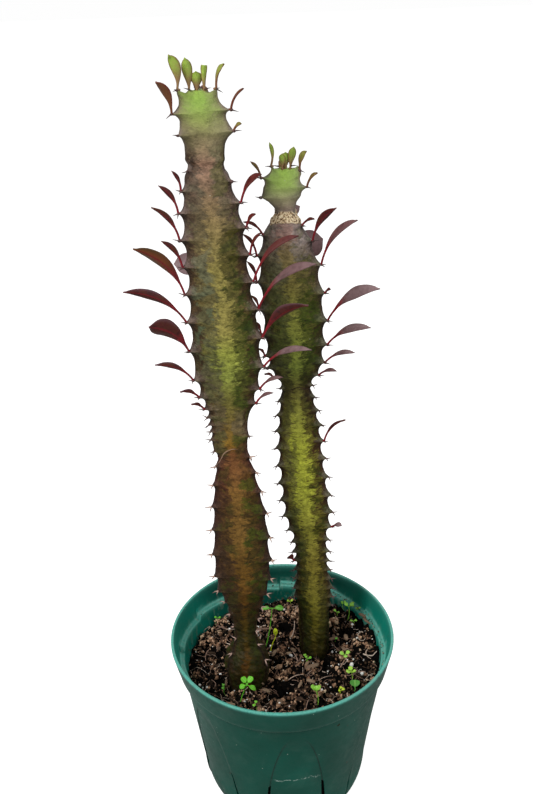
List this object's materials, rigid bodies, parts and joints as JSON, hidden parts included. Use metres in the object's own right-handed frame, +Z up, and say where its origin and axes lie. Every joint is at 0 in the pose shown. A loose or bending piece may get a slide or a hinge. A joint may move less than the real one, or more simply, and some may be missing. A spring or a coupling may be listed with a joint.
{
  "type": "potted euphorbia",
  "caption": "Live three-ribbed euphorbia with two upright toothed stems, paired spines and red spatula leaves, growing in a soil-filled round nursery pot.",
  "frame": {"origin": "centre of the pot's flat underside", "axes": "+Z up along the pot's axis, the front of the plant faces -Y and its taller stem stands towards -X"},
  "size_m": [0.1288, 0.127, 0.4171],
  "materials": {
    "pot_plastic": "satin",
    "soil_mix": "matte",
    "euphorbia_skin": "satin",
    "euphorbia_leaf": "satin",
    "seedling_green": "matte"
  },
  "bodies": {
    "root": {"pot": "pot_plastic", "soil": "soil_mix", "tall_stem": "euphorbia_skin", "short_stem": "euphorbia_skin", "seedling_clover": "seedling_green", "seedling_two_leaf": "seedling_green", "seedling_bud": "seedling_green", "seedling_front": "seedling_green", "seedling_round_leaf": "seedling_green", "seedling_cluster": "seedling_green", "seedling_side": "seedling_green", "seedling_back": "seedling_green"}
  },
  "joints": []
}
